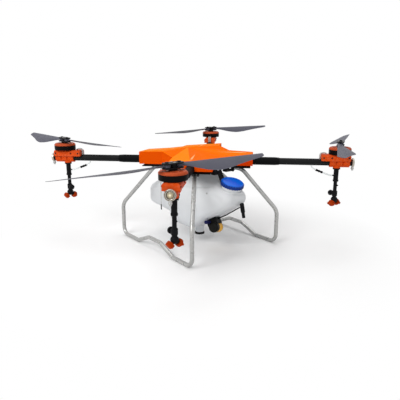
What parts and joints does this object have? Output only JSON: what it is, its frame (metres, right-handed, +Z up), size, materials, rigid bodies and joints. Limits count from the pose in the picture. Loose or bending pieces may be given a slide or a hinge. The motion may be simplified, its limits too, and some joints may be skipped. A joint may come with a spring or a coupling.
{
  "type": "agricultural spray drone",
  "caption": "Rotor drone with folding blades, an orange hood, a white liquid tank under it, spray lances at the arm ends and bent tube skids, for spraying crops.",
  "frame": {"origin": "on the ground, under the centre of the four motor axes", "axes": "+Z up, +Y to the front, away from the filler cap, +X to the right"},
  "size_m": [1.5936, 1.4431, 0.4492],
  "materials": {
    "orange_shell": "moulded",
    "orange_metal": "anodised",
    "carbon": "satin twill",
    "sleeve_black": "moulded",
    "black_plastic": "moulded",
    "bell_black": "anodised",
    "windings": "varnished copper",
    "hub_black": "anodised",
    "blade_grey": "satin",
    "lamp_metal": "polished",
    "lamp_lens": "clear",
    "skid_metal": "brushed",
    "hose_clear": "clear",
    "tank_white": "translucent moulded",
    "cap_blue": "moulded",
    "nozzle_orange": "moulded",
    "seal_rubber": "matt",
    "pump_can": "enamel with a gold band",
    "board_green": "lacquered board"
  },
  "bodies": {
    "frame": {"arm_clamps": "black_plastic", "arm_sleeves": "sleeve_black", "drain_plug": "black_plastic", "flight_controller": "black_plastic", "front_left_tube": "carbon", "front_right_tube": "carbon", "hood": "orange_shell", "hose_connectors": "black_plastic", "lamp_lenses": "lamp_lens", "lamp_rings": "lamp_metal", "lead_plug": "black_plastic", "left_skid": "skid_metal", "lower_plate": "carbon", "motor_mounts": "orange_metal", "motor_stators": "windings", "mount_clamps": "orange_metal", "neck_bracket": "black_plastic", "nozzle_bodies": "black_plastic", "power_board": "board_green", "pump_bracket": "black_plastic", "pump_head": "black_plastic", "pump_lead": "black_plastic", "pump_motor": "pump_can", "rear_left_tube": "carbon", "rear_right_tube": "carbon", "right_skid": "skid_metal", "skid_clamps": "black_plastic", "spray_hoses": "hose_clear", "spray_lances": "black_plastic", "tank": "tank_white", "tank_saddles": "black_plastic", "upper_plate": "carbon", "valve_knobs": "black_plastic"},
    "rear_left_rotor": {"rear_left_bell": "bell_black", "rear_left_hub": "hub_black"},
    "rear_left_blade_a": {"rear_left_blade_a": "blade_grey"},
    "rear_left_blade_b": {"rear_left_blade_b": "blade_grey"},
    "rear_right_rotor": {"rear_right_bell": "bell_black", "rear_right_hub": "hub_black"},
    "rear_right_blade_a": {"rear_right_blade_a": "blade_grey"},
    "rear_right_blade_b": {"rear_right_blade_b": "blade_grey"},
    "front_left_rotor": {"front_left_bell": "bell_black", "front_left_hub": "hub_black"},
    "front_left_blade_a": {"front_left_blade_a": "blade_grey"},
    "front_left_blade_b": {"front_left_blade_b": "blade_grey"},
    "front_right_rotor": {"front_right_bell": "bell_black", "front_right_hub": "hub_black"},
    "front_right_blade_a": {"front_right_blade_a": "blade_grey"},
    "front_right_blade_b": {"front_right_blade_b": "blade_grey"},
    "rear_left_nozzle_cap_a": {"rear_left_nozzle_cap_a": "nozzle_orange"},
    "rear_left_nozzle_cap_b": {"rear_left_nozzle_cap_b": "nozzle_orange"},
    "rear_right_nozzle_cap_a": {"rear_right_nozzle_cap_a": "nozzle_orange"},
    "rear_right_nozzle_cap_b": {"rear_right_nozzle_cap_b": "nozzle_orange"},
    "front_left_nozzle_cap_a": {"front_left_nozzle_cap_a": "nozzle_orange"},
    "front_left_nozzle_cap_b": {"front_left_nozzle_cap_b": "nozzle_orange"},
    "front_right_nozzle_cap_a": {"front_right_nozzle_cap_a": "nozzle_orange"},
    "front_right_nozzle_cap_b": {"front_right_nozzle_cap_b": "nozzle_orange"},
    "cap_seal": {"cap_seal": "seal_rubber"},
    "filler_cap": {"filler_cap": "cap_blue"}
  },
  "joints": [
    {"name": "rear_left_spin", "type": "hinge", "parent": "frame", "child": "rear_left_rotor", "pos_m": [-0.41719, -0.41719, 0.392], "axis": [0, 0, 1], "continuous": true},
    {"name": "rear_left_blade_a_fold", "type": "hinge", "parent": "rear_left_rotor", "child": "rear_left_blade_a", "pos_m": [-0.39519, -0.41719, 0.4321], "axis": [0, 0, 1], "range_deg": [-75, 75]},
    {"name": "rear_left_blade_b_fold", "type": "hinge", "parent": "rear_left_rotor", "child": "rear_left_blade_b", "pos_m": [-0.43919, -0.41719, 0.4321], "axis": [0, 0, 1], "range_deg": [-75, 75]},
    {"name": "rear_right_spin", "type": "hinge", "parent": "frame", "child": "rear_right_rotor", "pos_m": [0.41719, -0.41719, 0.392], "axis": [0, 0, 1], "continuous": true},
    {"name": "rear_right_blade_a_fold", "type": "hinge", "parent": "rear_right_rotor", "child": "rear_right_blade_a", "pos_m": [0.43595, -0.4057, 0.4321], "axis": [0, 0, 1], "range_deg": [-72.5, 77.5]},
    {"name": "rear_right_blade_b_fold", "type": "hinge", "parent": "rear_right_rotor", "child": "rear_right_blade_b", "pos_m": [0.39843, -0.42869, 0.4321], "axis": [0, 0, 1], "range_deg": [-77.5, 72.5]},
    {"name": "front_left_spin", "type": "hinge", "parent": "frame", "child": "front_left_rotor", "pos_m": [-0.41719, 0.41719, 0.392], "axis": [0, 0, 1], "continuous": true},
    {"name": "front_left_blade_a_fold", "type": "hinge", "parent": "front_left_rotor", "child": "front_left_blade_a", "pos_m": [-0.41968, 0.43905, 0.4321], "axis": [0, 0, 1], "range_deg": [-70, 80]},
    {"name": "front_left_blade_b_fold", "type": "hinge", "parent": "front_left_rotor", "child": "front_left_blade_b", "pos_m": [-0.4147, 0.39533, 0.4321], "axis": [0, 0, 1], "range_deg": [-80, 70]},
    {"name": "front_right_spin", "type": "hinge", "parent": "frame", "child": "front_right_rotor", "pos_m": [0.41719, 0.41719, 0.392], "axis": [0, 0, 1], "continuous": true},
    {"name": "front_right_blade_a_fold", "type": "hinge", "parent": "front_right_rotor", "child": "front_right_blade_a", "pos_m": [0.43918, 0.41642, 0.4321], "axis": [0, 0, 1], "range_deg": [-69, 81]},
    {"name": "front_right_blade_b_fold", "type": "hinge", "parent": "front_right_rotor", "child": "front_right_blade_b", "pos_m": [0.39521, 0.41796, 0.4321], "axis": [0, 0, 1], "range_deg": [-81, 69]},
    {"name": "rear_left_nozzle_cap_a_turn", "type": "hinge", "parent": "frame", "child": "rear_left_nozzle_cap_a", "pos_m": [-0.41083, -0.41083, 0.201], "axis": [-0.788, 0, -0.6157], "range_deg": [0, 90]},
    {"name": "rear_left_nozzle_cap_b_turn", "type": "hinge", "parent": "frame", "child": "rear_left_nozzle_cap_b", "pos_m": [-0.41083, -0.41083, 0.201], "axis": [0.788, 0, -0.6157], "range_deg": [0, 90]},
    {"name": "rear_right_nozzle_cap_a_turn", "type": "hinge", "parent": "frame", "child": "rear_right_nozzle_cap_a", "pos_m": [0.41083, -0.41083, 0.201], "axis": [-0.788, 0, -0.6157], "range_deg": [0, 90]},
    {"name": "rear_right_nozzle_cap_b_turn", "type": "hinge", "parent": "frame", "child": "rear_right_nozzle_cap_b", "pos_m": [0.41083, -0.41083, 0.201], "axis": [0.788, 0, -0.6157], "range_deg": [0, 90]},
    {"name": "front_left_nozzle_cap_a_turn", "type": "hinge", "parent": "frame", "child": "front_left_nozzle_cap_a", "pos_m": [-0.41083, 0.41083, 0.201], "axis": [-0.788, 0, -0.6157], "range_deg": [0, 90]},
    {"name": "front_left_nozzle_cap_b_turn", "type": "hinge", "parent": "frame", "child": "front_left_nozzle_cap_b", "pos_m": [-0.41083, 0.41083, 0.201], "axis": [0.788, 0, -0.6157], "range_deg": [0, 90]},
    {"name": "front_right_nozzle_cap_a_turn", "type": "hinge", "parent": "frame", "child": "front_right_nozzle_cap_a", "pos_m": [0.41083, 0.41083, 0.201], "axis": [-0.788, 0, -0.6157], "range_deg": [0, 90]},
    {"name": "front_right_nozzle_cap_b_turn", "type": "hinge", "parent": "frame", "child": "front_right_nozzle_cap_b", "pos_m": [0.41083, 0.41083, 0.201], "axis": [0.788, 0, -0.6157], "range_deg": [0, 90]},
    {"name": "cap_lift", "type": "slide", "parent": "frame", "child": "cap_seal", "axis": [0, -0.2756, 0.9613], "range_m": [0, 0.06]},
    {"name": "cap_turn", "type": "hinge", "parent": "cap_seal", "child": "filler_cap", "pos_m": [0, -0.21615, 0.269], "axis": [0, -0.2756, 0.9613], "range_deg": [0, 540]}
  ]
}
